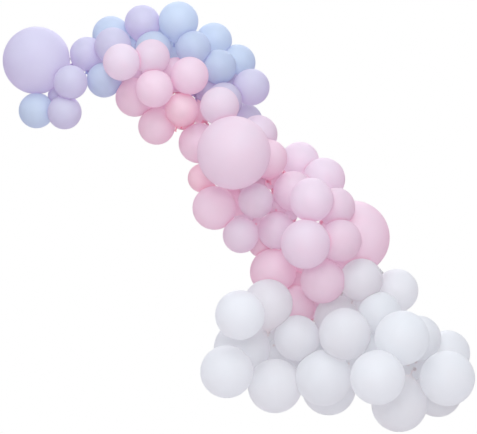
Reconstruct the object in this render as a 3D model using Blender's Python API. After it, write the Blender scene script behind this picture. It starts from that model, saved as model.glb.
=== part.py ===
"""Balloon arch: latex balloons of several sizes, tied to one plastic strip and pressed together.

Metres. +X runs along the arch to the right, +Z is up, and +Y points at the wall that it hangs on.
The origin is on the back of the strip's upper tab, where the upper wall hook holds it.
"""
import math

import bmesh
import bpy
import numpy as np
from mathutils import Vector
from mathutils.geometry import interpolate_bezier

for old in list(bpy.data.objects):
    bpy.data.objects.remove(old, do_unlink=True)

# Driving sizes
SPAN = 2.30               # across from the upper tab's mount to the lower tab's
PIECE_GAP = 0.0003        # air between two touching pieces
PRESS = 0.10              # share of their two radii by which neighbours press together
TOUCH = 0.02              # share of their two radii at which neighbours just touch
SETTLING_STEPS = 900
PUSH_SHARE = 0.25         # how much of an overlap one settling step takes away
RETURN_SHARE = 0.004      # how far a step draws a balloon back to its rough distance
NECK_REACH = 1.22         # neck's tip from the middle of a balloon, in its own radii
TIE_ROOM = 0.040          # neck length between a tied balloon and the strip
STRIP_WIDTH = 0.016
STRIP_THICKNESS = 0.0015
TAB_WIDTH = 0.034         # the strip's two end tabs
TAB_LENGTH = 0.055
TAB_TAPER = 0.040         # length over which the strip widens into a tab
TIE_SHARE = 0.28          # half thickness of two tied necks, in the smaller balloon's radius
HOOK_HOLE_WIDTH = 0.008
HOOK_HOLE_INSET = 0.014   # from the tab's end to the middle of its hole
HOLE_CUTTER_DEPTH = 0.006
STRIP_STEP = 0.075        # length of one straight stretch of the bent strip

# Fineness of the solids: sides around the neck, rings from neck to crown
GIANT_FROM = 0.35         # a balloon this wide or wider is a giant
FILLER_TO = 0.205         # a fused balloon this narrow or narrower is a small filler
GIANT_SIDES = (12, 7)
PLAIN_SIDES = (9, 6)
FILLER_SIDES = (8, 5)
TIE_SIDES = 6
HOLE_SIDES = 12

# Each row: across and up from the upper tab, rough standing distance from the wall and width,
# all in hundredths of the span, and whether it is fused to the balloon of its own colour that
# it presses on most
BALLOONS = {
    "sky_blue": [
        ("blue_01", 0.05, -12.51, 11.30, 8.86, False),
        ("blue_02", 18.48, 6.52, 6.52, 9.35, False),
        ("blue_03", 16.96, -5.00, 13.91, 8.70, False),
        ("blue_04", 29.13, 2.61, 12.17, 9.13, False),
        ("blue_05", 35.39, 9.65, 12.17, 9.90, False),
        ("blue_06", 39.13, 2.83, 15.22, 8.70, False),
        ("blue_07", 44.13, 5.00, 6.52, 9.13, True),
        ("blue_08", 45.43, -1.74, 14.35, 8.70, False),
        ("blue_09", 50.00, -0.43, 6.52, 9.13, False),
        ("blue_10", 24.57, 4.78, 4.35, 6.52, True),
        ("blue_11", 30.65, 6.96, 4.35, 6.52, True),
        ("blue_12", 33.91, 3.04, 4.35, 5.65, True),
    ],
    "lilac": [
        ("lilac_01", 0.00, 0.00, 10.87, 16.83, False),
        ("lilac_02", 8.70, -5.65, 16.96, 8.48, False),
        ("lilac_03", 7.17, -13.04, 15.22, 8.48, False),
        ("lilac_04", 12.61, 1.52, 10.00, 8.70, False),
        ("lilac_05", 19.13, 3.48, 14.78, 9.13, False),
        ("lilac_06", 26.39, 9.40, 12.17, 8.85, False),
        ("lilac_07", 53.48, -6.74, 10.87, 9.13, False),
        ("lilac_08", 51.96, -15.00, 6.09, 8.70, False),
        ("lilac_09", 46.74, -10.22, 14.78, 9.13, False),
        ("lilac_10", 6.09, -8.70, 5.22, 6.52, True),
        ("lilac_11", 42.61, -7.39, 13.50, 6.70, True),
        ("lilac_12", 47.94, -5.55, 6.96, 5.49, True),
    ],
    "pink": [
        ("pink_01", 24.57, -9.35, 14.78, 9.57, False),
        ("pink_02", 29.57, -7.39, 21.30, 9.35, False),
        ("pink_03", 38.26, -4.13, 21.30, 9.35, False),
        ("pink_04", 34.78, -3.70, 13.91, 8.70, True),
        ("pink_05", 30.00, -16.52, 14.78, 9.13, False),
        ("pink_06", 40.43, -20.65, 16.52, 10.00, False),
        ("pink_07", 44.35, -36.74, 17.39, 10.87, False),
        ("pink_08", 58.91, -52.61, 13.91, 11.52, False),
        ("pink_09", 57.61, -24.57, 15.65, 9.57, False),
        ("pink_10", 78.70, -44.13, 9.57, 18.48, False),
        ("pink_11", 71.09, -54.78, 16.52, 11.09, False),
        ("pink_12", 63.91, -61.30, 13.91, 10.87, False),
        ("pink_13", 31.30, -11.74, 10.43, 7.39, True),
        ("pink_14", 49.57, -34.78, 9.57, 7.83, True),
        ("pink_15", 58.04, -28.91, 13.04, 6.52, True),
        ("pink_16", 68.83, -61.15, 4.35, 7.01, True),
        ("pink_17", 23.26, -3.91, 5.22, 6.96, True),
        ("pink_18", 65.65, -50.87, 5.22, 7.39, True),
        ("pink_19", 55.66, -46.22, 10.87, 5.48, True),
        ("pink_20", 64.89, -55.71, 8.70, 5.98, True),
    ],
    "pale_pink": [
        ("pale_01", 21.52, -0.87, 21.74, 9.13, False),
        ("pale_02", 28.91, 0.43, 19.57, 8.91, False),
        ("pale_03", 45.65, -11.74, 22.61, 9.57, False),
        ("pale_04", 49.13, -23.26, 25.22, 18.04, False),
        ("pale_05", 54.57, -35.00, 21.74, 8.70, False),
        ("pale_06", 50.87, -43.48, 19.13, 8.91, False),
        ("pale_07", 59.78, -42.39, 16.52, 9.35, False),
        ("pale_08", 66.74, -45.65, 22.61, 12.17, False),
        ("pale_09", 63.91, -32.61, 13.91, 10.00, False),
        ("pale_10", 68.26, -34.78, 21.74, 10.87, True),
        ("pale_11", 71.52, -29.57, 11.30, 10.65, False),
        ("pale_12", 65.65, -25.00, 6.52, 9.57, True),
        ("pale_13", 55.22, -18.48, 10.87, 9.57, False),
        ("pale_14", 74.35, -36.52, 13.04, 9.57, False),
        ("pale_15", 75.43, -44.78, 17.83, 10.43, False),
        ("pale_16", 47.61, -24.35, 17.39, 9.57, True),
        ("pale_17", 53.48, -30.43, 14.78, 6.96, True),
        ("pale_18", 61.74, -38.04, 5.22, 6.96, True),
        ("pale_19", 55.00, -41.96, 5.22, 6.96, True),
        ("pale_20", 51.68, -38.26, 8.70, 5.49, True),
        ("pale_21", 59.39, -36.27, 10.87, 5.97, True),
    ],
    "rose": [
        ("rose_01", 36.30, -12.39, 19.13, 8.26, False),
        ("rose_02", 41.30, -29.35, 14.78, 7.17, False),
        ("rose_03", 36.52, -14.13, 13.04, 6.52, True),
        ("rose_04", 40.96, -12.57, 11.50, 6.48, True),
    ],
    "white": [
        ("white_01", 50.65, -63.04, 21.74, 12.17, False),
        ("white_02", 57.61, -60.43, 19.13, 12.17, False),
        ("white_03", 64.78, -68.91, 19.13, 11.30, False),
        ("white_04", 51.09, -71.74, 12.17, 13.91, True),
        ("white_05", 47.39, -77.17, 21.74, 13.04, False),
        ("white_06", 59.35, -80.87, 16.52, 13.48, False),
        ("white_07", 71.30, -78.70, 20.43, 13.91, False),
        ("white_08", 72.83, -81.74, 8.26, 13.48, True),
        ("white_09", 76.52, -67.83, 20.43, 12.83, False),
        ("white_10", 74.78, -64.13, 13.91, 11.30, True),
        ("white_11", 80.65, -54.57, 13.91, 10.65, False),
        ("white_12", 89.78, -57.39, 7.39, 10.87, False),
        ("white_13", 85.22, -62.83, 14.78, 10.65, False),
        ("white_14", 90.43, -68.70, 20.87, 13.48, False),
        ("white_15", 95.00, -69.13, 10.43, 11.30, True),
        ("white_16", 102.39, -73.04, 7.83, 11.52, True),
        ("white_17", 101.96, -78.91, 18.26, 13.70, False),
        ("white_18", 84.35, -78.26, 23.48, 13.48, False),
        ("white_19", 90.22, -85.43, 14.35, 13.91, False),
        ("white_20", 100.00, -82.83, 7.83, 12.17, False),
        ("white_21", 70.65, -71.09, 4.35, 6.52, True),
        ("white_22", 57.17, -68.26, 5.22, 8.70, True),
        ("white_23", 78.26, -75.22, 4.35, 6.30, True),
        ("white_24", 93.94, -76.51, 5.22, 9.40, True),
        ("white_25", 61.93, -73.24, 6.09, 9.49, True),
        ("white_26", 83.04, -70.86, 10.87, 6.97, True),
        ("white_27", 78.73, -60.07, 8.70, 6.48, True),
    ],
}

# The balloons that the strip runs behind, from its upper tab to its lower one
STRIP_RUN = ["lilac_01", "lilac_04", "blue_02", "blue_11", "blue_07", "blue_09", "lilac_08",
             "pale_12", "pink_10", "white_12", "white_15", "white_16", "white_20"]
ONLY_PASSED = ["lilac_04", "white_15"]    # not tied to the strip themselves

# Necks that show at the arch's edge, as directions: across, towards the wall, up
NECK_AIMS = {
    "lilac_06": (-0.3, 0.4, -1.0),
    "blue_05": (-0.2, 0.4, -1.0),
    "rose_01": (-0.3, 0.2, -1.0),
    "pink_09": (0.1, 0.2, -1.0),
    "pale_07": (0.0, 0.2, 1.0),
    "white_02": (0.0, 0.2, -1.0),
    "white_06": (0.0, 1.0, 0.7),
    "white_11": (-0.4, 0.4, -1.0),
    "white_18": (0.1, 0.5, 1.0),
    "white_19": (0.4, 0.3, 1.0),
}

# Latex and strip colours, with roughness
COLOURS = {
    "sky_blue": ((0.62, 0.73, 0.90), 0.38),
    "lilac": ((0.66, 0.62, 0.84), 0.38),
    "pink": ((0.90, 0.64, 0.76), 0.38),
    "pale_pink": ((0.90, 0.75, 0.86), 0.38),
    "rose": ((0.90, 0.50, 0.64), 0.38),
    "white": ((0.90, 0.91, 0.94), 0.38),
    "strip": ((0.86, 0.88, 0.90), 0.20),
}
SET_WORDS = {1: "balloon", 2: "pair", 3: "trio", 4: "foursome", 5: "fivesome"}


class Balloon:
    """One balloon as a ball with a neck, which its tag names."""

    def __init__(self, tag, latex, across, up, out, width, tied):
        self.tag = tag
        self.latex = latex
        self.across = across
        self.up = up
        self.out = out
        self.radius = width / 2
        self.tied = tied
        self.on_strip = tag in STRIP_RUN and tag not in ONLY_PASSED

    @property
    def middle(self):
        return Vector((self.across, -self.out, self.up))


def read_balloons():
    """All the rows as balloons, by tag."""
    found = {}
    for latex, rows in BALLOONS.items():
        for tag, *shares, tied in rows:
            sizes = [share * SPAN / 100 for share in shares]
            found[tag] = Balloon(tag, latex, *sizes, tied)
    return found


def nearest_wall(balloon):
    """The least distance from the wall to a balloon's middle."""
    room = TIE_ROOM if balloon.on_strip else 0.0
    return balloon.radius + STRIP_THICKNESS + PIECE_GAP + room


def settle(balloons):
    """Moves the balloons towards or away from the wall until neighbours only press together.

    Seen from the front each keeps its place, and of two that overlap there the one that stands
    further out stays in front.
    """
    place = np.array([(b.across, b.up) for b in balloons])
    radius = np.array([b.radius for b in balloons])
    rough = np.array([b.out for b in balloons])
    least = np.array([nearest_wall(b) for b in balloons])
    fixed = np.array([b.on_strip for b in balloons])
    sideways = np.linalg.norm(place[:, None] - place[None], axis=2)
    reach = radius[:, None] + radius[None]
    pressed = np.sqrt(np.maximum((reach * (1 - PRESS)) ** 2 - sideways ** 2, 0))
    before = np.sign(rough[:, None] - rough[None])
    ties = np.triu(before == 0, 1)
    before = before + ties - ties.T
    out = np.maximum(rough, least)
    for step in range(SETTLING_STEPS):
        short = pressed - (out[:, None] - out[None]) * before
        push = np.where((pressed > 0) & (short > 0), short, 0) * before
        ease = 1 - step / SETTLING_STEPS
        out = out + push.sum(axis=1) * PUSH_SHARE + (rough - out) * RETURN_SHARE * ease
        out = np.where(fixed, least, np.maximum(out, least))
    out = draw_together(out, sideways, reach, pressed, before, fixed)
    for balloon, settled in zip(balloons, out):
        balloon.out = float(settled)


def draw_together(out, sideways, reach, pressed, before, fixed):
    """Moves each loose group of balloons as one until it presses on what the strip carries."""
    for attempt in range(len(out)):
        linked = np.hypot(sideways, out[:, None] - out[None]) < reach * (1 - TOUCH)
        for doubling in range(math.ceil(math.log2(len(out)))):
            linked = (linked.astype(int) @ linked) > 0
        held = linked[:, fixed].any(axis=1)
        if held.all():
            break
        group = linked[int(np.argmin(held))]
        facing = np.outer(group, ~group) & (pressed > 0)
        moves = np.where(facing, out[None] + before * pressed - out[:, None], np.inf)
        move = moves.flat[int(np.abs(moves).argmin())]
        out = out + np.where(group, move, 0)
    return out


def press_between(one, other):
    """The share of their two radii by which two balloons press together."""
    return 1 - (one.middle - other.middle).length / (one.radius + other.radius)


def fused_sets(balloons):
    """The balloons in lists, each led by one that is not fused to another."""
    sets = [[b] for b in balloons if not b.tied]
    loose = [b for b in balloons if b.tied]
    while loose:
        pairs = [(press_between(b, member), b, chosen) for b in loose for chosen in sets
                 for member in chosen if member.latex == b.latex]
        press, balloon, chosen = max(pairs, key=lambda pair: pair[0])
        balloon.fused_to = max(chosen, key=lambda member: press_between(balloon, member))
        chosen.append(balloon)
        loose.remove(balloon)
    return sets


def strip_path(balloons):
    """The strip's middle line behind its run of balloons, as (across, up) points.

    It runs past the first and last balloon far enough to end in a tab.
    """
    knots = [np.array((balloons[tag].across, balloons[tag].up)) for tag in STRIP_RUN]
    first = knots[0] + (knots[0] - knots[1]) / np.linalg.norm(knots[0] - knots[1]) * TAB_LENGTH
    last = knots[-1] + (knots[-1] - knots[-2]) / np.linalg.norm(knots[-1] - knots[-2]) * TAB_LENGTH
    line = np.array([first] + knots + [last])
    leans = np.gradient(line, axis=0) / 3
    points = [first]
    for start, end, lean, lean_after in zip(line, line[1:], leans, leans[1:]):
        pieces = max(1, round(np.linalg.norm(end - start) / STRIP_STEP))
        handles = [Vector(point) for point in (start, start + lean, end - lean_after, end)]
        points.extend(interpolate_bezier(*handles, pieces + 1)[1:])
    return np.array(points)


def point_necks(balloons, path):
    """Points each neck at the strip, or where a neck that shows is seen to point."""
    for balloon in balloons:
        if balloon.tag in NECK_AIMS:
            aim = Vector(NECK_AIMS[balloon.tag])
        else:
            steps = np.linalg.norm(path - (balloon.across, balloon.up), axis=1)
            across, up = path[int(steps.argmin())]
            aim = Vector((across, -STRIP_THICKNESS, up)) - balloon.middle
        if balloon.on_strip:
            aim = Vector((0, 1, 0))
        balloon.neck = aim.normalized()
        to_strip = balloon.out - STRIP_THICKNESS - PIECE_GAP
        balloon.tip = to_strip if balloon.on_strip else balloon.radius * NECK_REACH


def contact_planes(balloon, others):
    """Planes that keep a balloon on its own side of each neighbour and in front of the strip."""
    planes = [(Vector((0, 1, 0)), balloon.out - STRIP_THICKNESS - PIECE_GAP)]
    for other in others:
        between = other.middle - balloon.middle
        distance = between.length
        if distance > balloon.tip + other.tip:
            continue
        share = (distance ** 2 + balloon.radius ** 2 - other.radius ** 2) / (2 * distance)
        planes.append((between / distance, share - PIECE_GAP / 2))
    return planes


def reach_along(balloon, planes, direction):
    """How far the latex is from the balloon's middle along a direction.

    The ball runs into a cone at the neck, and a neighbour presses it flat.
    """
    cone_edge = math.acos(min(balloon.radius / balloon.tip, 1))
    off_neck = direction.angle(balloon.neck, 0)
    reach = balloon.radius / math.cos(max(cone_edge - off_neck, 0))
    for normal, distance in planes:
        lean = direction.dot(normal)
        if lean > 0:
            reach = min(reach, distance / lean)
    return reach


def balloon_mesh(balloon, others, sides):
    """A balloon's closed mesh, about its own middle."""
    planes = contact_planes(balloon, others)
    mesh = bmesh.new()
    around, rings = sides
    bmesh.ops.create_uvsphere(mesh, u_segments=around, v_segments=rings, radius=1)
    turn = Vector((0, 0, 1)).rotation_difference(balloon.neck)
    for vertex in mesh.verts:
        direction = (turn @ vertex.co).normalized()
        vertex.co = direction * reach_along(balloon, planes, direction)
    data = bpy.data.meshes.new(balloon.tag)
    mesh.to_mesh(data)
    mesh.free()
    return data


def material(name):
    """The plain material of one colour."""
    found = bpy.data.materials.get(name)
    if found:
        return found
    colour, roughness = COLOURS[name]
    found = bpy.data.materials.new(name)
    found.use_nodes = True
    shader = found.node_tree.nodes["Principled BSDF"]
    shader.inputs["Base Color"].default_value = (*colour, 1)
    shader.inputs["Roughness"].default_value = roughness
    shader.inputs["Metallic"].default_value = 0
    return found


def place(name, data, where, latex):
    """Puts a mesh in the scene as an object with its colour."""
    thing = bpy.data.objects.new(name, data)
    thing.location = where
    data.materials.clear()
    data.materials.append(material(latex))
    bpy.context.scene.collection.objects.link(thing)
    return thing


def combine(thing, tool, operation):
    """Joins a tool to a thing, or cuts it away, and removes the tool."""
    modifier = thing.modifiers.new("combine", "BOOLEAN")
    modifier.operation = operation
    modifier.object = tool
    bpy.context.view_layer.update()
    graph = bpy.context.evaluated_depsgraph_get()
    data = bpy.data.meshes.new_from_object(thing.evaluated_get(graph), depsgraph=graph)
    thing.modifiers.clear()
    thing.data = data
    bpy.data.objects.remove(tool, do_unlink=True)


def sides_for(balloon):
    """How finely a balloon is modelled."""
    if 2 * balloon.radius >= GIANT_FROM:
        return GIANT_SIDES
    if balloon.tied and 2 * balloon.radius <= FILLER_TO:
        return FILLER_SIDES
    return PLAIN_SIDES


def neck_tie(one, other):
    """The short bar that stands for two necks tied together, from middle to middle."""
    between = other.middle - one.middle
    thickness = min(one.radius, other.radius) * TIE_SHARE
    bar = bmesh.new()
    bmesh.ops.create_cone(bar, cap_ends=True, segments=TIE_SIDES, radius1=thickness,
                          radius2=thickness, depth=between.length)
    turn = Vector((0, 0, 1)).rotation_difference(between)
    bmesh.ops.rotate(bar, verts=bar.verts, matrix=turn.to_matrix())
    data = bpy.data.meshes.new("neck_tie")
    bar.to_mesh(data)
    bar.free()
    return place("neck_tie", data, (one.middle + other.middle) / 2, one.latex)


def build_balloons(balloons):
    """One object for each balloon, or for each set of balloons fused to one another."""
    for members in fused_sets(balloons):
        others = [b for b in balloons if b not in members]
        pieces = []
        for member in members:
            data = balloon_mesh(member, others, sides_for(member))
            pieces.append(place(member.tag, data, member.middle, member.latex))
        for member, extra in zip(members[1:], pieces[1:]):
            combine(pieces[0], neck_tie(member, member.fused_to), "UNION")
            combine(pieces[0], extra, "UNION")
        pieces[0].name = f"{members[0].tag}_{SET_WORDS[len(members)]}"


def strip_width_at(along, length):
    """The strip's width at a distance along it: it widens into a tab at each end."""
    from_end = min(along, length - along)
    share = min(max((from_end - TAB_LENGTH) / TAB_TAPER, 0), 1)
    return TAB_WIDTH + (STRIP_WIDTH - TAB_WIDTH) * share


def build_strip(path):
    """The bent strip as one flat band with its back at the wall, and a hook hole in each tab."""
    steps = np.linalg.norm(np.diff(path, axis=0), axis=1)
    along = np.concatenate([[0], np.cumsum(steps)])
    extra = [TAB_LENGTH, TAB_LENGTH + TAB_TAPER]
    stops = sorted(set(np.round(np.concatenate([along, extra, along[-1] - extra]), 4)))
    across = np.interp(stops, along, path[:, 0])
    up = np.interp(stops, along, path[:, 1])
    slope_across = np.gradient(across)
    slope_up = np.gradient(up)
    mesh = bmesh.new()
    rows = []
    for i, stop in enumerate(stops):
        side = Vector((-slope_up[i], 0, slope_across[i])).normalized()
        half = side * strip_width_at(stop, along[-1]) / 2
        middle = Vector((across[i], 0, up[i]))
        front = Vector((0, -STRIP_THICKNESS, 0))
        corners = (middle - half, middle + half, middle + half + front, middle - half + front)
        rows.append([mesh.verts.new(corner) for corner in corners])
    for row, following in zip(rows, rows[1:]):
        for k in range(4):
            mesh.faces.new((row[k], row[(k + 1) % 4], following[(k + 1) % 4], following[k]))
    mesh.faces.new(rows[0][::-1])
    mesh.faces.new(rows[-1])
    bmesh.ops.recalc_face_normals(mesh, faces=mesh.faces)
    data = bpy.data.meshes.new("hanging_strip")
    mesh.to_mesh(data)
    mesh.free()
    strip = place("hanging_strip", data, (0, 0, 0), "strip")
    for end, inner in ((path[0], path[1]), (path[-1], path[-2])):
        inwards = (inner - end) / np.linalg.norm(inner - end)
        combine(strip, hook_hole(end + inwards * HOOK_HOLE_INSET), "DIFFERENCE")


def hook_hole(middle):
    """The cutter for one hook hole, through the strip at an (across, up) point."""
    cutter = bmesh.new()
    bmesh.ops.create_cone(cutter, cap_ends=True, segments=HOLE_SIDES, radius1=HOOK_HOLE_WIDTH / 2,
                          radius2=HOOK_HOLE_WIDTH / 2, depth=HOLE_CUTTER_DEPTH)
    turn = Vector((0, 0, 1)).rotation_difference(Vector((0, 1, 0)))
    bmesh.ops.rotate(cutter, verts=cutter.verts, matrix=turn.to_matrix())
    data = bpy.data.meshes.new("hook_hole")
    cutter.to_mesh(data)
    cutter.free()
    return place("hook_hole", data, (middle[0], -STRIP_THICKNESS / 2, middle[1]), "strip")


arch = read_balloons()
everyone = list(arch.values())
settle(everyone)
middle_line = strip_path(arch)
point_necks(everyone, middle_line)
build_balloons(everyone)
build_strip(middle_line)
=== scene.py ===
import math

import bpy
import numpy as np
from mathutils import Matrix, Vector


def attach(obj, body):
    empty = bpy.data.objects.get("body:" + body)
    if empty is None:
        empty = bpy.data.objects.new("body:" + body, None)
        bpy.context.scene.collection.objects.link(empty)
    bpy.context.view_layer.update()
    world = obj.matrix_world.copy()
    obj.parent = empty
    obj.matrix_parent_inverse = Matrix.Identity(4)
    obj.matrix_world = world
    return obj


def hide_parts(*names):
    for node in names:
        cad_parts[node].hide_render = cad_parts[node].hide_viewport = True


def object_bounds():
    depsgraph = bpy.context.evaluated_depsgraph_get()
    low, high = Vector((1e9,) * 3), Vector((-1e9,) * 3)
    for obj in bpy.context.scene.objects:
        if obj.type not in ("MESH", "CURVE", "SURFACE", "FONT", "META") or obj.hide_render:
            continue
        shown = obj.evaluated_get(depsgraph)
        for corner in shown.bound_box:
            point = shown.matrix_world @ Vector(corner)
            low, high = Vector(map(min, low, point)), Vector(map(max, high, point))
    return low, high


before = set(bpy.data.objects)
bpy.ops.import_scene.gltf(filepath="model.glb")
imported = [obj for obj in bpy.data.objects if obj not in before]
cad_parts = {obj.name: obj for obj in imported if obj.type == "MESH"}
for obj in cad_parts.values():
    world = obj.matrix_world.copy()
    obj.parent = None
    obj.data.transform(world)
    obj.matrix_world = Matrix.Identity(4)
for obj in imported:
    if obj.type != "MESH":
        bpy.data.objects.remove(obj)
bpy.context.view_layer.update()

# Balloons
# Round latex balloons of several sizes, blown tight so that only the neck draws to a point.
# Each is tied off by its neck and packed against its neighbours, which press it flat where
# they touch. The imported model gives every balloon's middle, width and neck.

FOUND_WITHIN = 0.0002     # a corner of the solid this near a ball's skin belongs to it
LEAST_RADIUS, MOST_RADIUS = 0.04, 0.3
FLAT_VOLUME = 1e-7        # four points that span less than this lie flat
TIP_STANDS_OUT = 1.12     # a corner further out than this, in a ball's radius, is its neck's tip
HIDDEN_NECK_REACH = 1.05  # reach of a neck that no corner shows, in the balloon's radius
LATEX_GAP = 0.0003        # air left between two balloons that press together
FLAT_EDGE = 0.05          # softness of a flat's edge, in the balloon's radius
NECK_TUBE = 0.0055        # radius of the gathered neck
NECK_POINT = 0.965        # where the balloon's own cone would end, in its neck's reach
NECK_BLEND = 0.066        # how softly the cone runs into the neck, in the balloon's radius
CREASE_SHADE_REACH = 0.007     # how far from a neighbour the painted crease shade reaches
PUCKERS = 11              # fine folds where the neck gathers the latex
PUCKER_DEPTH = 0.012      # in the balloon's radius
PUCKERS_AT, PUCKERS_FADE = 0.16, 0.11     # angles from the neck, in radians
NECK_FADE, CROWN_FADE = 0.45, 0.25        # angles over which the thick latex thins out
CROWN_SHARE = 0.12        # thickness of the crown's spot beside the neck's
ROUND_STEPS = 64
NECK_TO_CROWN_STEPS = 48
STEP_CROWDING = 1.45      # crowds the rings towards the neck
GIANT_RADIUS = 0.17
GIANT_FINENESS = 1.4      # how much finer a giant balloon is modelled
BALLS_IN = {"balloon": 1, "pair": 2, "trio": 3, "foursome": 4,
            "fivesome": 5}
LATEX_OF = {"blue": "latex_sky_blue", "lilac": "latex_lilac", "pink": "latex_pink",
            "pale": "latex_pale_pink", "rose": "latex_rose", "white": "latex_white"}


def corners_and_faces(node):
    """A solid's corners, merged, and its triangles as rows of corner numbers."""
    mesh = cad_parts[node].data
    loose = np.array([v.co for v in mesh.vertices], float)
    keys, first, number = np.unique(np.round(loose, 5), axis=0, return_index=True,
                                    return_inverse=True)
    faces = np.array([p.vertices for p in mesh.polygons])
    return loose[first], number.ravel()[faces]


def ball_through(points):
    """Middle and radius of the ball through four points, or None where they lie flat."""
    sides = 2 * (points[1:] - points[0])
    squares = (points ** 2).sum(axis=1)
    if abs(np.linalg.det(sides)) < FLAT_VOLUME:
        return None
    middle = np.linalg.solve(sides, squares[1:] - squares[0])
    return middle, np.linalg.norm(points[0] - middle)


def balls_in_node(node):
    """The balloons inside one solid, each as its middle, radius and neck tip.

    Two neighbouring facets of a balloon have four corners, and the ball through them that most
    other corners lie on too is the balloon.
    """
    points, faces = corners_and_faces(node)
    edges = {}
    for face in faces:
        for a, b in ((0, 1), (1, 2), (2, 0)):
            edges.setdefault(tuple(sorted((face[a], face[b]))), []).append(face)
    tried = {}
    for pair in edges.values():
        four = sorted(set(np.ravel(pair)))
        found = ball_through(points[four]) if len(four) == 4 else None
        if found and LEAST_RADIUS < found[1] < MOST_RADIUS:
            tried[tuple(np.round(found[0], 3))] = found
    left = np.ones(len(points), bool)
    balls = []
    for count in range(BALLS_IN[node.split("_")[-1]]):
        on_skin = [(np.abs(np.linalg.norm(points - middle, axis=1) - radius) < FOUND_WITHIN)
                   & left for middle, radius in tried.values()]
        best = int(np.argmax([skin.sum() for skin in on_skin]))
        middle, radius = list(tried.values())[best]
        left &= ~on_skin[best]
        balls.append({"node": node, "middle": middle, "radius": radius})
    for ball in balls:
        away = np.array([np.linalg.norm(points - b["middle"], axis=1) / b["radius"]
                         for b in balls])
        own = np.linalg.norm(points - ball["middle"], axis=1) / ball["radius"]
        own[away.min(axis=0) < own - 1e-6] = 0
        tip = int(own.argmax())
        ball["tip"] = points[tip] if own[tip] > TIP_STANDS_OUT else None
    return balls


strip_points, strip_faces = corners_and_faces("hanging_strip")
balloons = []
for node in sorted(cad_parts):
    if node != "hanging_strip":
        balloons.extend(balls_in_node(node))
for ball in balloons:
    nearest = strip_points[np.linalg.norm(strip_points - ball["middle"], axis=1).argmin()]
    ball["free"] = ball["tip"] is not None
    towards = (ball["tip"] if ball["free"] else nearest) - ball["middle"]
    ball["neck"] = towards / np.linalg.norm(towards)
    ball["reach"] = (np.linalg.norm(towards) if ball["free"]
                     else ball["radius"] * HIDDEN_NECK_REACH)
    ball["latex"] = LATEX_OF[ball["node"].split("_")[0]]


def smaller(a, b, softness):
    """The smaller of two lengths, with the change from one to the other rounded."""
    near = np.maximum(softness - np.abs(a - b), 0) / softness
    return np.minimum(a, b) - near ** 2 * softness / 4


def balloon_skin(ball, around, rings):
    """Points on a balloon's skin, ring by ring from the neck, the angle of each ring from the
    neck, and how near each point lies to a neighbour, kept as the mask for painted crease shade."""
    radius, reach = ball["radius"], ball["reach"]
    off_neck = math.pi * np.linspace(0, 1, rings + 1) ** STEP_CROWDING
    turn = 2 * math.pi * np.arange(around) / around
    point = max(reach * NECK_POINT, radius)
    cone_edge = math.acos(min(radius / point, 1))
    cone = radius / np.cos(np.maximum(cone_edge - off_neck, 0))
    tube = np.minimum(reach, NECK_TUBE / np.maximum(np.sin(off_neck), 1e-4))
    tube[off_neck > 1] = 0
    profile = -smaller(-cone, -tube, NECK_BLEND * radius) if ball["free"] else cone
    side = np.cross(ball["neck"], (0.3, 0.2, 0.9))
    side = side / np.linalg.norm(side)
    other = np.cross(ball["neck"], side)
    directions = (np.cos(off_neck)[:, None, None] * ball["neck"]
                  + np.sin(off_neck)[:, None, None]
                  * (np.cos(turn)[None, :, None] * side + np.sin(turn)[None, :, None] * other))
    folds = np.cos(PUCKERS * turn)[None] * np.exp(
        -((off_neck - PUCKERS_AT) / PUCKERS_FADE) ** 2)[:, None]
    length = profile[:, None] * (1 + PUCKER_DEPTH * folds * ball["free"])
    neighbours = []
    for other_ball in balloons:
        between = other_ball["middle"] - ball["middle"]
        distance = np.linalg.norm(between)
        if other_ball is ball or distance > reach + other_ball["reach"]:
            continue
        neighbours.append(other_ball)
        share = (distance ** 2 + radius ** 2 - other_ball["radius"] ** 2) / (2 * distance)
        lean = directions @ (between / distance)
        flat = (share - LATEX_GAP / 2) / np.maximum(lean, 1e-3)
        length = smaller(length, np.where(lean > 1e-3, flat, 9), FLAT_EDGE * radius)
    back = (ball["middle"][1] - strip_points[:, 1].min()) * -1 - LATEX_GAP
    towards_wall = directions[..., 1]
    wall = back / np.maximum(towards_wall, 1e-3)
    length = np.where(towards_wall > 1e-3, np.minimum(length, wall), length)
    skin = ball["middle"] + directions * length[..., None]
    # Painted crease shade: a mask that deepens the colour where the skin comes near a neighbour
    crease_shade = np.zeros(length.shape)
    for other_ball in neighbours:
        gap = np.linalg.norm(skin - other_ball["middle"], axis=2) - other_ball["radius"]
        crease_shade = np.maximum(crease_shade, np.exp(-np.maximum(gap, 0) / CREASE_SHADE_REACH))
    return skin, off_neck, crease_shade


def skin_faces(around, rings):
    """Faces between the rings of a balloon whose first and last ring are single points."""
    faces = []
    for k in range(around):
        after = (k + 1) % around
        faces.append((0, 1 + k, 1 + after))
        for ring in range(rings - 2):
            low, high = 1 + ring * around, 1 + (ring + 1) * around
            faces.append((low + k, high + k, high + after, low + after))
        last = 1 + (rings - 2) * around
        faces.append((last + k, last + around, last + after))
    return faces


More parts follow.
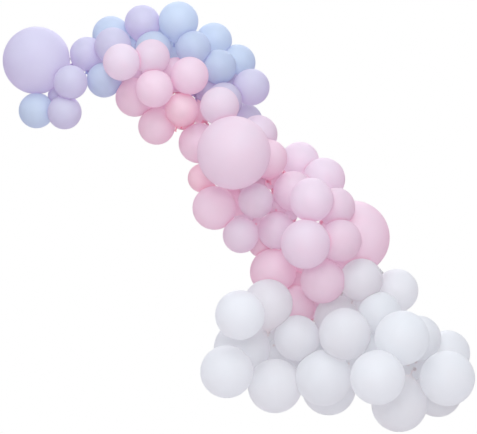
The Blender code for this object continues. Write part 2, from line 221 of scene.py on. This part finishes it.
rng = np.random.default_rng(11)
balloon_pieces = {}
for node in sorted(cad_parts):
    if node == "hanging_strip":
        continue
    points, faces, near_neck, crease_shade_values, tint = [], [], [], [], []
    for ball in [b for b in balloons if b["node"] == node]:
        finer = GIANT_FINENESS if ball["radius"] > GIANT_RADIUS else 1
        around, rings = round(ROUND_STEPS * finer), round(NECK_TO_CROWN_STEPS * finer)
        skin, off_neck, crease_shade = balloon_skin(ball, around, rings)
        shift = len(points)
        points.extend([skin[0, 0], *skin[1:-1].reshape(-1, 3), skin[-1, 0]])
        faces.extend([tuple(shift + i for i in face) for face in skin_faces(around, rings)])
        closeness = (np.exp(-off_neck / NECK_FADE)
                     + CROWN_SHARE * np.exp(-(math.pi - off_neck) / CROWN_FADE))
        crease_shade_values.extend([crease_shade[0, 0], *crease_shade[1:-1].ravel(), crease_shade[-1, 0]])
        near_neck.extend([closeness[0], *np.repeat(closeness[1:-1], around), closeness[-1]])
        tint.extend([rng.uniform(0, 1)] * (len(points) - shift))
    mesh = bpy.data.meshes.new(node + "_latex")
    mesh.from_pydata([tuple(p) for p in points], [], faces)
    mesh.attributes.new("near_neck", "FLOAT", "POINT").data.foreach_set("value", near_neck)
    # The mask for the painted crease shade
    mesh.attributes.new("crease_shade", "FLOAT", "POINT").data.foreach_set("value", crease_shade_values)
    mesh.attributes.new("tint", "FLOAT", "POINT").data.foreach_set("value", tint)
    mesh.shade_smooth()
    piece = bpy.data.objects.new(node + "_latex", mesh)
    bpy.context.scene.collection.objects.link(piece)
    balloon_pieces[node] = piece


def latex_film_group():
    """Latex as one shared effect: thick and deep in colour at neck and crown, cloudy elsewhere,
    and deepened by painted crease shade where balloons touch.
    """
    group = bpy.data.node_groups.new("latex_film", "ShaderNodeTree")
    for name, kind in (("Pale", "NodeSocketColor"), ("Deep", "NodeSocketColor"),
                       ("Mottle", "NodeSocketFloat"), ("Bloom", "NodeSocketFloat"),
                       ("Crease Shade", "NodeSocketFloat")):
        group.interface.new_socket(name, in_out="INPUT", socket_type=kind)
    for name, kind in (("Colour", "NodeSocketColor"), ("Roughness", "NodeSocketFloat"),
                       ("Grain", "NodeSocketFloat")):
        group.interface.new_socket(name, in_out="OUTPUT", socket_type=kind)
    add = group.nodes.new
    link = group.links.new
    given, result = add("NodeGroupInput"), add("NodeGroupOutput")
    place = add("ShaderNodeTexCoord")
    neck, tint, crease_shade = (add("ShaderNodeAttribute") for count in range(3))
    neck.attribute_name, tint.attribute_name, crease_shade.attribute_name = (
        "near_neck", "tint", "crease_shade")
    cloud, powder = add("ShaderNodeTexNoise"), add("ShaderNodeTexNoise")
    cloud.inputs["Scale"].default_value = 7
    cloud.inputs["Detail"].default_value = 2
    powder.inputs["Scale"].default_value = 260
    powder.inputs["Detail"].default_value = 3
    for noise in (cloud, powder):
        link(place.outputs["Object"], noise.inputs["Vector"])

    def calculate(operation, a, b):
        node = add("ShaderNodeMath")
        node.operation = operation
        for socket, value in zip(node.inputs, (a, b)):
            if isinstance(value, (int, float)):
                socket.default_value = value
            else:
                link(value, socket)
        return node.outputs[0]

    patchy = calculate("MULTIPLY", calculate("SUBTRACT", cloud.outputs["Fac"], 0.5),
                       given.outputs["Mottle"])
    between = calculate("MULTIPLY", tint.outputs["Fac"], 0.12)
    # Thick latex at the neck and crown, plus painted crease shade where balloons touch
    thick = calculate("ADD", calculate("MULTIPLY", neck.outputs["Fac"], 0.8),
                      calculate("MULTIPLY", crease_shade.outputs["Fac"], given.outputs["Crease Shade"]))
    depth = calculate("ADD", calculate("ADD", patchy, between), thick)
    clamped = add("ShaderNodeClamp")
    link(depth, clamped.inputs["Value"])
    mix = add("ShaderNodeMix")
    mix.data_type = "RGBA"
    link(clamped.outputs[0], mix.inputs["Factor"])
    link(given.outputs["Pale"], mix.inputs["A"])
    link(given.outputs["Deep"], mix.inputs["B"])
    link(mix.outputs["Result"], result.inputs["Colour"])
    rough = calculate("ADD", 0.42, calculate("MULTIPLY", powder.outputs["Fac"],
                                             given.outputs["Bloom"]))
    link(rough, result.inputs["Roughness"])
    link(powder.outputs["Fac"], result.inputs["Grain"])
    return group


latex_film = latex_film_group()
SHINE_THROUGH = 0.62      # share of the see-through latex in a balloon's skin
WHITE_CREASE_SHADE, CREASE_SHADE = 0.15, 0.6          # how strongly the painted crease shade deepens the colour
# Each latex: its skin where it is blown thin, where it stays thick (also used for the painted
# crease shade), light that comes through, and the film seen edge on
LATEX_COLOURS = {
    "latex_sky_blue": ((0.72, 0.86, 0.93), (0.28, 0.30, 0.66), (0.69, 0.72, 0.86),
                       (0.60, 0.55, 0.95)),
    "latex_lilac": ((0.76, 0.84, 0.91), (0.42, 0.27, 0.64), (0.77, 0.67, 0.83),
                    (0.70, 0.50, 0.92)),
    "latex_pink": ((0.90, 0.90, 0.95), (1.0, 0.32, 0.42), (0.95, 0.72, 0.83),
                   (1.0, 0.30, 0.45)),
    "latex_pale_pink": ((0.84, 0.90, 0.94), (1.0, 0.36, 0.46), (0.91, 0.73, 0.84),
                        (1.0, 0.38, 0.52)),
    "latex_rose": ((0.93, 0.92, 0.95), (1.0, 0.26, 0.36), (0.97, 0.69, 0.79),
                   (1.0, 0.22, 0.36)),
    "latex_white": ((0.83, 0.85, 0.87), (0.82, 0.62, 0.58), (0.91, 0.92, 0.94),
                    (1.0, 0.88, 0.88)),
}


def latex_material(name, pale, deep, through, edge):
    """Chalky pastel latex: soft, a little see-through, with a dull shine."""
    material = bpy.data.materials.new(name)
    material.use_nodes = True
    tree = material.node_tree
    shader = tree.nodes["Principled BSDF"]
    film = tree.nodes.new("ShaderNodeGroup")
    film.node_tree = latex_film
    film.inputs["Pale"].default_value = (*pale, 1)
    film.inputs["Deep"].default_value = (*deep, 1)
    film.inputs["Mottle"].default_value = 0.25
    film.inputs["Bloom"].default_value = 0.12
    # Strength of the painted crease shade, weaker on white latex
    film.inputs["Crease Shade"].default_value = WHITE_CREASE_SHADE if name == "latex_white" else CREASE_SHADE
    bump = tree.nodes.new("ShaderNodeBump")
    bump.inputs["Strength"].default_value = 0.06
    bump.inputs["Distance"].default_value = 0.0004
    tree.links.new(film.outputs["Colour"], shader.inputs["Base Color"])
    tree.links.new(film.outputs["Roughness"], shader.inputs["Roughness"])
    tree.links.new(film.outputs["Grain"], bump.inputs["Height"])
    tree.links.new(bump.outputs["Normal"], shader.inputs["Normal"])
    shader.inputs["IOR"].default_value = 1.6
    shader.inputs["Sheen Weight"].default_value = 0.15
    shader.inputs["Sheen Roughness"].default_value = 0.5
    shader.inputs["Sheen Tint"].default_value = (*edge, 1)
    shine_through = tree.nodes.new("ShaderNodeBsdfTranslucent")
    shine_through.inputs["Color"].default_value = (*through, 1)
    tree.links.new(bump.outputs["Normal"], shine_through.inputs["Normal"])
    thin = tree.nodes.new("ShaderNodeMixShader")
    thin.inputs["Fac"].default_value = SHINE_THROUGH
    tree.links.new(shader.outputs["BSDF"], thin.inputs[1])
    tree.links.new(shine_through.outputs["BSDF"], thin.inputs[2])
    tree.links.new(thin.outputs["Shader"], tree.nodes["Material Output"].inputs["Surface"])
    return material


latex = {name: latex_material(name, *colours) for name, colours in LATEX_COLOURS.items()}
for node, piece in balloon_pieces.items():
    slot = LATEX_OF[node.split("_")[0]]
    piece.data.materials.append(latex[slot])
    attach(piece, "root")
    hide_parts(node)

# Tied necks
# Each balloon is closed with a knot in its own neck, and the rolled lip flares out below it.
# Most knots lie inside the arch, and a few show between the balloons.

KNOT_WIDTH = 0.0120
LIP_WIDTH = 0.0165
KNOT_LENGTH = 0.0200      # from the end of the neck to the lip
KNOT_SIDES = 12
KNOT_SINK = 0.003         # how far the knot reaches back over the end of the neck
LIP_CLEARANCE = 0.003
KNOT_SIZES = (1.0, 0.8, 0.6)
KNOT_RINGS = 26
# Knots listed one by one: across, up and out from the wall, their direction, size and latex. The
# first eight follow knots seen in the photo, and the others are guesses in gaps between balloons.
# Each one is seated on the nearest balloon of its own latex.
KNOTS_BY_HAND = [
    (1.324, -1.556, 0.198, (0.15, -1.0, -0.1), 1.5, "latex_white"),
    (1.366, -1.630, 0.275, (-0.4, -0.8, -0.5), 0.9, "latex_white"),
    (2.135, -1.745, 0.211, (-0.5, -0.8, 0.3), 1.2, "latex_white"),
    (2.160, -1.765, 0.215, (0.4, -0.9, -0.2), 1.4, "latex_white"),
    (2.170, -1.735, 0.212, (0.3, -0.8, 0.5), 1.0, "latex_white"),
    (0.836, -0.392, 0.400, (-0.3, -0.5, -0.8), 1.2, "latex_rose"),
    (1.327, -0.686, 0.343, (-0.2, -0.8, -0.6), 1.1, "latex_pink"),
    (1.370, -0.852, 0.312, (0.1, -0.8, -0.5), 0.7, "latex_pale_pink"),
    (0.193, -0.031, 0.213, (0.3, -0.5, 0.8), 1.3, "latex_lilac"),
    (0.301, -0.083, 0.274, (-0.7, -0.4, 0.6), 1.5, "latex_sky_blue"),
    (0.787, -0.205, 0.295, (0.5, -0.4, 0.8), 1.4, "latex_pink"),
    (0.899, -0.220, 0.273, (0.2, -0.4, 0.9), 1.7, "latex_lilac"),
    (0.993, -0.363, 0.294, (-0.9, -0.4, -0.2), 1.5, "latex_pink"),
    (1.410, -0.651, 0.253, (0.1, -0.5, 0.8), 1.3, "latex_pink"),
    (1.353, -0.735, 0.294, (-0.3, -0.4, -0.9), 1.6, "latex_pink"),
    (1.484, -0.904, 0.274, (0.9, -0.4, -0.3), 1.5, "latex_pale_pink"),
    (1.600, -0.929, 0.345, (0.8, -0.4, 0.3), 1.2, "latex_pink"),
    (1.575, -1.502, 0.244, (0.6, -0.4, 0.7), 1.4, "latex_pink"),
    (0.760, -0.193, 0.295, (0.9, -0.4, 0.4), 1.3, "latex_pink"),
    (0.839, -0.193, 0.315, (-0.8, -0.4, 0.5), 1.3, "latex_pink"),
    (0.924, -0.205, 0.255, (0.5, -0.4, -0.8), 1.4, "latex_lilac"),
    (0.943, -0.376, 0.285, (0.9, -0.4, 0.4), 1.3, "latex_pink"),
    (1.010, -0.720, 0.356, (0.9, -0.4, 0.2), 1.1, "latex_pink"),
    (1.741, -1.340, 0.295, (0.6, -0.4, 0.7), 1.3, "latex_white"),
    (1.395, -1.086, 0.276, (0.6, -0.4, 0.7), 0.9, "latex_pink"),
    (0.281, -0.062, 0.255, (0.8, -0.4, 0.5), 1.2, "latex_lilac"),
]


def add_step(tree, kind, inputs, **settings):
    """One node of a geometry tree, with its settings and its inputs set or linked."""
    node = tree.nodes.new(kind)
    for name, value in settings.items():
        setattr(node, name, value)
    for key, value in inputs.items():
        if isinstance(value, bpy.types.NodeSocket):
            tree.links.new(value, node.inputs[key])
        else:
            node.inputs[key].default_value = value
    return node


def start_tree(name, sockets):
    """An empty geometry tree with named inputs and one geometry output."""
    tree = bpy.data.node_groups.new(name, "GeometryNodeTree")
    for socket_name, kind in sockets:
        tree.interface.new_socket(socket_name, in_out="INPUT", socket_type=kind)
    tree.interface.new_socket("Geometry", in_out="OUTPUT", socket_type="NodeSocketGeometry")
    return tree, tree.nodes.new("NodeGroupInput").outputs


def end_tree(tree, geometry, material):
    """Realizes what the tree made, gives it its material and puts it out."""
    plain = add_step(tree, "GeometryNodeRealizeInstances", {"Geometry": geometry})
    coloured = add_step(tree, "GeometryNodeSetMaterial",
                        {"Geometry": plain.outputs[0], "Material": material})
    add_step(tree, "NodeGroupOutput", {0: coloured.outputs[0]})


def grow(tree, start, name, values):
    """The plain object that a geometry tree makes from a starting mesh."""
    seed = bpy.data.objects.new(name + "_start", start)
    bpy.context.scene.collection.objects.link(seed)
    modifier = seed.modifiers.new(tree.name, "NODES")
    modifier.node_group = tree
    for socket in tree.interface.items_tree:
        if socket.name in values:
            modifier[socket.identifier] = values[socket.name]
    graph = bpy.context.evaluated_depsgraph_get()
    mesh = bpy.data.meshes.new_from_object(seed.evaluated_get(graph), depsgraph=graph)
    bpy.data.objects.remove(seed, do_unlink=True)
    piece = bpy.data.objects.new(name, mesh)
    bpy.context.scene.collection.objects.link(piece)
    return piece


def curve_of(tree, along, stops):
    """A value that follows the given stops along a length from 0 to 1."""
    node = add_step(tree, "ShaderNodeFloatCurve", {"Value": along})
    points = node.mapping.curves[0].points
    points[0].location, points[-1].location = stops[0], stops[-1]
    for stop in stops[1:-1]:
        points.new(*stop)
    node.mapping.update()
    return node.outputs[0]


def product(tree, a, b):
    """Two values multiplied."""
    return add_step(tree, "ShaderNodeMath", {0: a, 1: b}, operation="MULTIPLY").outputs[0]


def tied_neck_tree():
    """A knot and a hollow lip on every given point, turned along the point's own aim."""
    tree, given = start_tree("tied_neck", (
        ("Necks", "NodeSocketGeometry"), ("Knot Width", "NodeSocketFloat"),
        ("Lip Width", "NodeSocketFloat"), ("Length", "NodeSocketFloat"),
        ("Sides", "NodeSocketInt"), ("Latex", "NodeSocketMaterial")))
    tube = add_step(tree, "GeometryNodeMeshCylinder", {
        "Vertices": given["Sides"], "Side Segments": KNOT_RINGS, "Radius": 1.0, "Depth": 1.0})
    here = add_step(tree, "ShaderNodeSeparateXYZ",
                    {0: tree.nodes.new("GeometryNodeInputPosition").outputs[0]})
    along = add_step(tree, "ShaderNodeMath", {0: here.outputs["Z"], 1: 0.5},
                     operation="ADD").outputs[0]
    knot = curve_of(tree, along, ((0, 0.62), (0.1, 0.5), (0.22, 0.95), (0.36, 1.0), (0.48, 0.5),
                                  (0.6, 0.25), (0.75, 0.0), (1, 0.0)))
    lip = curve_of(tree, along, ((0, 0.0), (0.45, 0.0), (0.55, 0.25), (0.68, 0.66), (0.76, 1.0),
                                 (0.81, 0.98), (0.86, 0.74), (0.93, 0.5), (1, 0.25)))
    rise = curve_of(tree, along, ((0, 0.0), (0.48, 0.55), (0.76, 0.95), (0.81, 1.0),
                                  (0.86, 0.94), (1, 0.6)))
    lumps = add_step(tree, "ShaderNodeTexNoise", {"Scale": 1.4, "Detail": 0.0})
    lump = add_step(tree, "ShaderNodeMapRange", {
        "Value": lumps.outputs[0], "From Min": 0.3, "From Max": 0.7, "To Min": 0.86,
        "To Max": 1.14}).outputs[0]
    half = product(tree, add_step(tree, "ShaderNodeMath", {
        0: product(tree, knot, given["Knot Width"]), 1: product(tree, lip, given["Lip Width"])},
        operation="ADD").outputs[0], product(tree, lump, 0.5))
    shaped = add_step(tree, "GeometryNodeSetPosition", {
        "Geometry": tube.outputs["Mesh"],
        "Position": add_step(tree, "ShaderNodeCombineXYZ", {
            "X": product(tree, here.outputs["X"], half),
            "Y": product(tree, here.outputs["Y"], half),
            "Z": product(tree, rise, given["Length"])}).outputs[0]})
    aim = add_step(tree, "GeometryNodeInputNamedAttribute", {"Name": "aim"},
                   data_type="FLOAT_VECTOR")
    size = add_step(tree, "GeometryNodeInputNamedAttribute", {"Name": "size"},
                    data_type="FLOAT")
    turned = add_step(tree, "FunctionNodeAlignRotationToVector", {"Vector": aim.outputs[0]},
                      axis="Z")
    placed = add_step(tree, "GeometryNodeInstanceOnPoints", {
        "Points": given["Necks"], "Instance": shaped.outputs[0],
        "Rotation": turned.outputs[0], "Scale": size.outputs[0]})
    plain = add_step(tree, "GeometryNodeRealizeInstances", {"Geometry": placed.outputs[0]})
    thick = add_step(tree, "GeometryNodeStoreNamedAttribute", {
        "Geometry": plain.outputs[0], "Name": "near_neck", "Value": 1.0},
        data_type="FLOAT", domain="POINT")
    smooth = add_step(tree, "GeometryNodeSetShadeSmooth", {"Geometry": thick.outputs[0]})
    end_tree(tree, smooth.outputs[0], given["Latex"])
    return tree


necks = {name: [] for name in latex}
for ball in balloons:
    if not ball["free"]:
        continue
    spot = ball["middle"] + ball["neck"] * (ball["reach"] - KNOT_SINK)
    for size in KNOT_SIZES:
        lip = spot + ball["neck"] * KNOT_LENGTH * size
        room = min(np.linalg.norm(lip - b["middle"]) - b["radius"] for b in balloons)
        if room > LIP_CLEARANCE and lip[1] < -LIP_CLEARANCE - LIP_WIDTH / 2:
            necks[ball["latex"]].append((spot, ball["neck"], size))
            break
for across, up, out, aim, size, name in KNOTS_BY_HAND:
    near = np.array((across, -out, up))
    tied = min((b for b in balloons if b["latex"] == name),
               key=lambda b: abs(np.linalg.norm(near - b["middle"]) - b["radius"]))
    outwards = (near - tied["middle"]) / np.linalg.norm(near - tied["middle"])
    leaning = np.array(aim) / np.linalg.norm(aim) + outwards
    spot = tied["middle"] + outwards * (tied["radius"] - KNOT_SINK)
    necks[name].append((spot, leaning / np.linalg.norm(leaning), size))

tied_neck = tied_neck_tree()
for name, ends in necks.items():
    start = bpy.data.meshes.new(name + "_necks")
    start.from_pydata([tuple(spot) for spot, aim, size in ends], [], [])
    start.attributes.new("aim", "FLOAT_VECTOR", "POINT").data.foreach_set(
        "vector", np.ravel([aim for spot, aim, size in ends]))
    start.attributes.new("size", "FLOAT", "POINT").data.foreach_set(
        "value", [size for spot, aim, size in ends])
    knots = grow(tied_neck, start, name.replace("latex_", "") + "_knots", {
        "Knot Width": KNOT_WIDTH, "Lip Width": LIP_WIDTH, "Length": KNOT_LENGTH,
        "Sides": KNOT_SIDES, "Latex": latex[name]})
    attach(knots, "root")

# Hanging strip
# One band of clear plastic that runs behind the balloons, punched all along with holes for the
# tied necks. It widens into a tab at each end, with a hole for the wall hook.

HOLE_PITCH = 0.060
LARGE_HOLE = 0.0085
SMALL_HOLE = 0.0045
TAB_ROOM = 0.115          # from the strip's end to the first hole for a neck
OUTLINE_STEPS = 300


def outline_loops(points, faces):
    """The closed outlines of the strip's back face, as corner numbers in order."""
    uses = {}
    for face in faces[(np.abs(points[faces][..., 1]) < 1e-4).all(axis=1)]:
        for a, b in ((0, 1), (1, 2), (2, 0)):
            edge = tuple(sorted((int(face[a]), int(face[b]))))
            uses[edge] = uses.get(edge, 0) + 1
    beside = {}
    for (a, b), count in uses.items():
        if count == 1:
            beside.setdefault(a, []).append(b)
            beside.setdefault(b, []).append(a)
    loops = []
    while beside:
        loop = [min(beside)]
        while True:
            onward = [n for n in beside.pop(loop[-1], []) if n in beside]
            if not onward:
                break
            loop.append(onward[0])
        loops.append(loop)
    return sorted(loops, key=len, reverse=True)


outline, *hook_holes = [strip_points[loop] for loop in outline_loops(strip_points, strip_faces)]
ends = (outline + np.roll(outline, -1, axis=0))[:, 0] / 2
outline = np.roll(outline, -int(ends.argmin()) - 1, axis=0)
left, right = outline[:len(outline) // 2], outline[len(outline) // 2:][::-1]
middle_line = (left + right) / 2
half_widths = np.linalg.norm(left - right, axis=1) / 2
hook_middle = min((hole.mean(axis=0) for hole in hook_holes), key=lambda middle: middle[0])
hook_inset = np.linalg.norm(hook_middle - middle_line[0])
hook_width = 2 * np.linalg.norm(hook_holes[0] - hook_holes[0].mean(axis=0), axis=1).mean()
thickness = -strip_points[:, 1].min()


def slotted_strip_tree():
    """A flat band cut out with all its holes, given its thickness and bent along a path."""
    tree, given = start_tree("slotted_strip", (
        ("Path", "NodeSocketGeometry"), ("Thickness", "NodeSocketFloat"),
        ("Pitch", "NodeSocketFloat"), ("Large Hole", "NodeSocketFloat"),
        ("Small Hole", "NodeSocketFloat"), ("Hook Hole", "NodeSocketFloat"),
        ("Hook Inset", "NodeSocketFloat"), ("Tab Room", "NodeSocketFloat"),
        ("Plastic", "NodeSocketMaterial")))

    def add(a, b, operation="ADD"):
        return add_step(tree, "ShaderNodeMath", {0: a, 1: b}, operation=operation).outputs[0]

    def point(x=0.0, y=0.0, z=0.0):
        return add_step(tree, "ShaderNodeCombineXYZ", {0: x, 1: y, 2: z}).outputs[0]

    def vector(operation, **inputs):
        keys = {"a": 0, "b": 1, "scale": "Scale"}
        return add_step(tree, "ShaderNodeVectorMath",
                        {keys[name]: value for name, value in inputs.items()},
                        operation=operation).outputs[0]

    path = add_step(tree, "GeometryNodeCurveSplineType", {
        "Curve": add_step(tree, "GeometryNodeMeshToCurve",
                          {"Mesh": given["Path"]}).outputs[0]}, spline_type="CATMULL_ROM")
    length = add_step(tree, "GeometryNodeCurveLength", {"Curve": path.outputs[0]}).outputs[0]
    grid = add_step(tree, "GeometryNodeMeshGrid", {
        "Size X": length, "Size Y": 2.0, "Vertices X": OUTLINE_STEPS, "Vertices Y": 2})
    neighbours = add_step(tree, "GeometryNodeInputMeshEdgeNeighbors", {})
    edge = add_step(tree, "FunctionNodeCompare", {2: neighbours.outputs[0], 3: 1},
                    data_type="INT", operation="EQUAL")
    band = add_step(tree, "GeometryNodeMeshToCurve",
                    {"Mesh": grid.outputs["Mesh"], "Selection": edge.outputs[0]})
    here = add_step(tree, "ShaderNodeSeparateXYZ",
                    {0: tree.nodes.new("GeometryNodeInputPosition").outputs[0]})
    along = add(here.outputs["X"], add(length, 0.5, "MULTIPLY"))
    half = add_step(tree, "GeometryNodeInputNamedAttribute", {"Name": "half_width"},
                    data_type="FLOAT")
    width = add_step(tree, "GeometryNodeSampleCurve", {
        "Curves": path.outputs[0], "Value": half.outputs[0], "Length": along},
        mode="LENGTH", data_type="FLOAT")
    band = add_step(tree, "GeometryNodeSetPosition", {
        "Geometry": band.outputs[0],
        "Position": point(along, add(here.outputs["Y"], width.outputs["Value"], "MULTIPLY"))})

    def holes(hole_width, first, pitch, count, resolution):
        row = add_step(tree, "GeometryNodeMeshLine", {
            "Count": count, "Start Location": point(first), "Offset": point(pitch)})
        ring = add_step(tree, "GeometryNodeCurvePrimitiveCircle", {
            "Resolution": resolution, "Radius": add(hole_width, 0.5, "MULTIPLY")})
        return add_step(tree, "GeometryNodeInstanceOnPoints", {
            "Points": row.outputs[0], "Instance": ring.outputs[0]}).outputs[0]

    free = add(length, add(given["Tab Room"], 2.0, "MULTIPLY"), "SUBTRACT")
    count = add_step(tree, "FunctionNodeFloatToInt", {0: add(free, given["Pitch"], "DIVIDE")},
                     rounding_mode="FLOOR").outputs[0]
    between_hooks = add(length, add(given["Hook Inset"], 2.0, "MULTIPLY"), "SUBTRACT")
    flat = tree.nodes.new("GeometryNodeJoinGeometry")
    for curve in (
            band.outputs[0],
            holes(given["Large Hole"], given["Tab Room"], given["Pitch"], count, 16),
            holes(given["Small Hole"],
                  add(given["Tab Room"], add(given["Pitch"], 0.5, "MULTIPLY")),
                  given["Pitch"], count, 12),
            holes(given["Hook Hole"], given["Hook Inset"], between_hooks, 2, 24)):
        tree.links.new(curve, flat.inputs[0])
    cut = add_step(tree, "GeometryNodeFillCurve", {
        "Curve": add_step(tree, "GeometryNodeRealizeInstances",
                          {"Geometry": flat.outputs[0]}).outputs[0]})
    front = add_step(tree, "GeometryNodeExtrudeMesh", {
        "Mesh": cut.outputs[0], "Offset": point(z=1.0), "Offset Scale": given["Thickness"],
        "Individual": False})
    back = add_step(tree, "GeometryNodeFlipFaces", {"Mesh": cut.outputs[0]})
    both = tree.nodes.new("GeometryNodeJoinGeometry")
    tree.links.new(front.outputs[0], both.inputs[0])
    tree.links.new(back.outputs[0], both.inputs[0])
    closed = add_step(tree, "GeometryNodeMergeByDistance",
                      {"Geometry": both.outputs[0], "Distance": 1e-5})
    bend = add_step(tree, "GeometryNodeSampleCurve",
                    {"Curves": path.outputs[0], "Length": here.outputs["X"]}, mode="LENGTH")
    outwards = (0.0, -1.0, 0.0)
    side = vector("NORMALIZE", a=vector("CROSS_PRODUCT", a=outwards, b=bend.outputs["Tangent"]))
    offset = vector("ADD", a=vector("SCALE", a=side, scale=here.outputs["Y"]),
                    b=vector("SCALE", a=outwards, scale=here.outputs["Z"]))
    bent = add_step(tree, "GeometryNodeSetPosition", {
        "Geometry": closed.outputs[0],
        "Position": vector("ADD", a=bend.outputs["Position"], b=offset)})
    end_tree(tree, bent.outputs[0], given["Plastic"])
    return tree


def clear_plastic():
    """Clear soft plastic, a little milky, rubbed dull in patches and faintly scratched."""
    material = bpy.data.materials.new("clear_plastic")
    material.use_nodes = True
    tree = material.node_tree
    shader = tree.nodes["Principled BSDF"]
    place = tree.nodes.new("ShaderNodeTexCoord")
    rubbed = tree.nodes.new("ShaderNodeTexNoise")
    rubbed.inputs["Scale"].default_value = 30
    dull = tree.nodes.new("ShaderNodeMapRange")
    dull.inputs["To Min"].default_value = 0.16
    dull.inputs["To Max"].default_value = 0.40
    scratches = tree.nodes.new("ShaderNodeTexNoise")
    scratches.inputs["Scale"].default_value = 900
    bump = tree.nodes.new("ShaderNodeBump")
    bump.inputs["Strength"].default_value = 0.08
    bump.inputs["Distance"].default_value = 0.0002
    tree.links.new(place.outputs["Object"], rubbed.inputs["Vector"])
    tree.links.new(place.outputs["Object"], scratches.inputs["Vector"])
    tree.links.new(rubbed.outputs["Fac"], dull.inputs["Value"])
    tree.links.new(dull.outputs["Result"], shader.inputs["Roughness"])
    tree.links.new(scratches.outputs["Fac"], bump.inputs["Height"])
    tree.links.new(bump.outputs["Normal"], shader.inputs["Normal"])
    shader.inputs["Base Color"].default_value = (0.93, 0.95, 0.96, 1)
    shader.inputs["Transmission Weight"].default_value = 0.65
    shader.inputs["IOR"].default_value = 1.49
    return material


path_mesh = bpy.data.meshes.new("strip_path")
path_mesh.from_pydata([tuple(p) for p in middle_line],
                      [(k, k + 1) for k in range(len(middle_line) - 1)], [])
path_mesh.attributes.new("half_width", "FLOAT", "POINT").data.foreach_set("value", half_widths)
strip = grow(slotted_strip_tree(), path_mesh, "slotted_strip", {
    "Thickness": thickness, "Pitch": HOLE_PITCH, "Large Hole": LARGE_HOLE,
    "Small Hole": SMALL_HOLE, "Hook Hole": hook_width, "Hook Inset": hook_inset,
    "Tab Room": TAB_ROOM, "Plastic": clear_plastic()})
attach(strip, "root")
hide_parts("hanging_strip")

# Stage, light and camera
# A pale floor well below the arch, and a white backdrop. Soft, very slightly cool light comes from
# above, in front and behind. The camera stands far back and level with the arch's middle.

FLOOR_BELOW = 0.45        # from the lowest balloon down to the floor
FLOOR_HALF = 6.0
MIDDLE_OUT = 0.30         # distance from the wall at which the photo's scale holds
PHOTO_WIDTH = 2.7257      # width that the photo covers there
CAMERA_BACK = 28.0
VIEW_ACROSS = 1.1571
VIEW_UP = -0.8971
SENSOR = 36.0
DAYLIGHT = (0.93, 0.98, 1.0)
LOW_ROOM = (0.13, 0.10, 0.11)
WHITE_WALL = (1.0, 1.0, 1.0)
MIDDLE_ROOM = (0.34, 0.32, 0.33)
HIGH_ROOM = (0.90, 0.96, 1.02)
PALE_FLOOR = (0.72, 0.66, 0.67)
BRIGHTENING = 1.15        # the picture's gamma

low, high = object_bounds()
floor_mesh = bpy.data.meshes.new("floor")
floor_up = low.z - FLOOR_BELOW
floor_mesh.from_pydata([(VIEW_ACROSS + x, y, floor_up) for x, y in
                        ((-FLOOR_HALF, -FLOOR_HALF), (FLOOR_HALF, -FLOOR_HALF),
                         (FLOOR_HALF, FLOOR_HALF), (-FLOOR_HALF, FLOOR_HALF))],
                       [], [(0, 1, 2, 3)])
floor = bpy.data.objects.new("floor", floor_mesh)
bpy.context.scene.collection.objects.link(floor)
pale_floor = bpy.data.materials.new("pale_floor")
pale_floor.use_nodes = True
pale_floor.node_tree.nodes["Principled BSDF"].inputs["Base Color"].default_value = (
    *PALE_FLOOR, 1)
pale_floor.node_tree.nodes["Principled BSDF"].inputs["Roughness"].default_value = 0.8
floor_mesh.materials.append(pale_floor)

world = bpy.data.worlds.new("white_room")
world.use_nodes = True
bpy.context.scene.world = world
sky = world.node_tree
direction = sky.nodes.new("ShaderNodeTexCoord")
height = sky.nodes.new("ShaderNodeSeparateXYZ")
ramp = sky.nodes.new("ShaderNodeValToRGB")
spread = sky.nodes.new("ShaderNodeMapRange")
spread.inputs["From Min"].default_value = -1
sky.links.new(direction.outputs["Generated"], height.inputs["Vector"])
sky.links.new(height.outputs["Z"], spread.inputs["Value"])
sky.links.new(spread.outputs["Result"], ramp.inputs["Fac"])
sky.links.new(ramp.outputs["Color"], sky.nodes["Background"].inputs["Color"])
ramp.color_ramp.elements[0].position = 0.0
ramp.color_ramp.elements[0].color = (*LOW_ROOM, 1)
ramp.color_ramp.elements[1].position = 0.95
ramp.color_ramp.elements[1].color = (*HIGH_ROOM, 1)
for position, colour in ((0.46, LOW_ROOM), (0.54, MIDDLE_ROOM)):
    ramp.color_ramp.elements.new(position).color = (*colour, 1)
backdrop = sky.nodes.new("ShaderNodeBackground")
backdrop.inputs["Color"].default_value = (*WHITE_WALL, 1)
ray = sky.nodes.new("ShaderNodeLightPath")
seen = sky.nodes.new("ShaderNodeMixShader")
sky.links.new(ray.outputs["Is Camera Ray"], seen.inputs["Fac"])
sky.links.new(sky.nodes["Background"].outputs["Background"], seen.inputs[1])
sky.links.new(backdrop.outputs["Background"], seen.inputs[2])
sky.links.new(seen.outputs["Shader"], sky.nodes["World Output"].inputs["Surface"])

for name, spot, size, power in (
        ("overhead", (0.8, -5.0, 5.0), 5.0, 290),
        ("front", (0.9, -16.0, 2.0), 4.0, 1000),
        ("behind", (1.1, 3.2, 2.2), 4.0, 140)):
    lamp = bpy.data.lights.new(name, "AREA")
    lamp.size = size
    lamp.energy = power
    lamp.color = DAYLIGHT
    lamp_object = bpy.data.objects.new(name, lamp)
    lamp_object.location = spot
    lamp_object.visible_camera = False
    aim = Vector((VIEW_ACROSS, -MIDDLE_OUT, VIEW_UP)) - lamp_object.location
    lamp_object.rotation_euler = aim.to_track_quat("-Z", "Y").to_euler()
    bpy.context.scene.collection.objects.link(lamp_object)

camera = bpy.data.cameras.new("camera")
camera.sensor_width = SENSOR
camera.lens = SENSOR * CAMERA_BACK / PHOTO_WIDTH
camera.clip_end = 200
camera_object = bpy.data.objects.new("camera", camera)
camera_object.location = (VIEW_ACROSS, -MIDDLE_OUT - CAMERA_BACK, VIEW_UP)
camera_object.rotation_euler = (math.pi / 2, 0, 0)
bpy.context.scene.collection.objects.link(camera_object)
bpy.context.scene.camera = camera_object
bpy.context.scene.view_settings.view_transform = "Standard"
bpy.context.scene.view_settings.gamma = BRIGHTENING
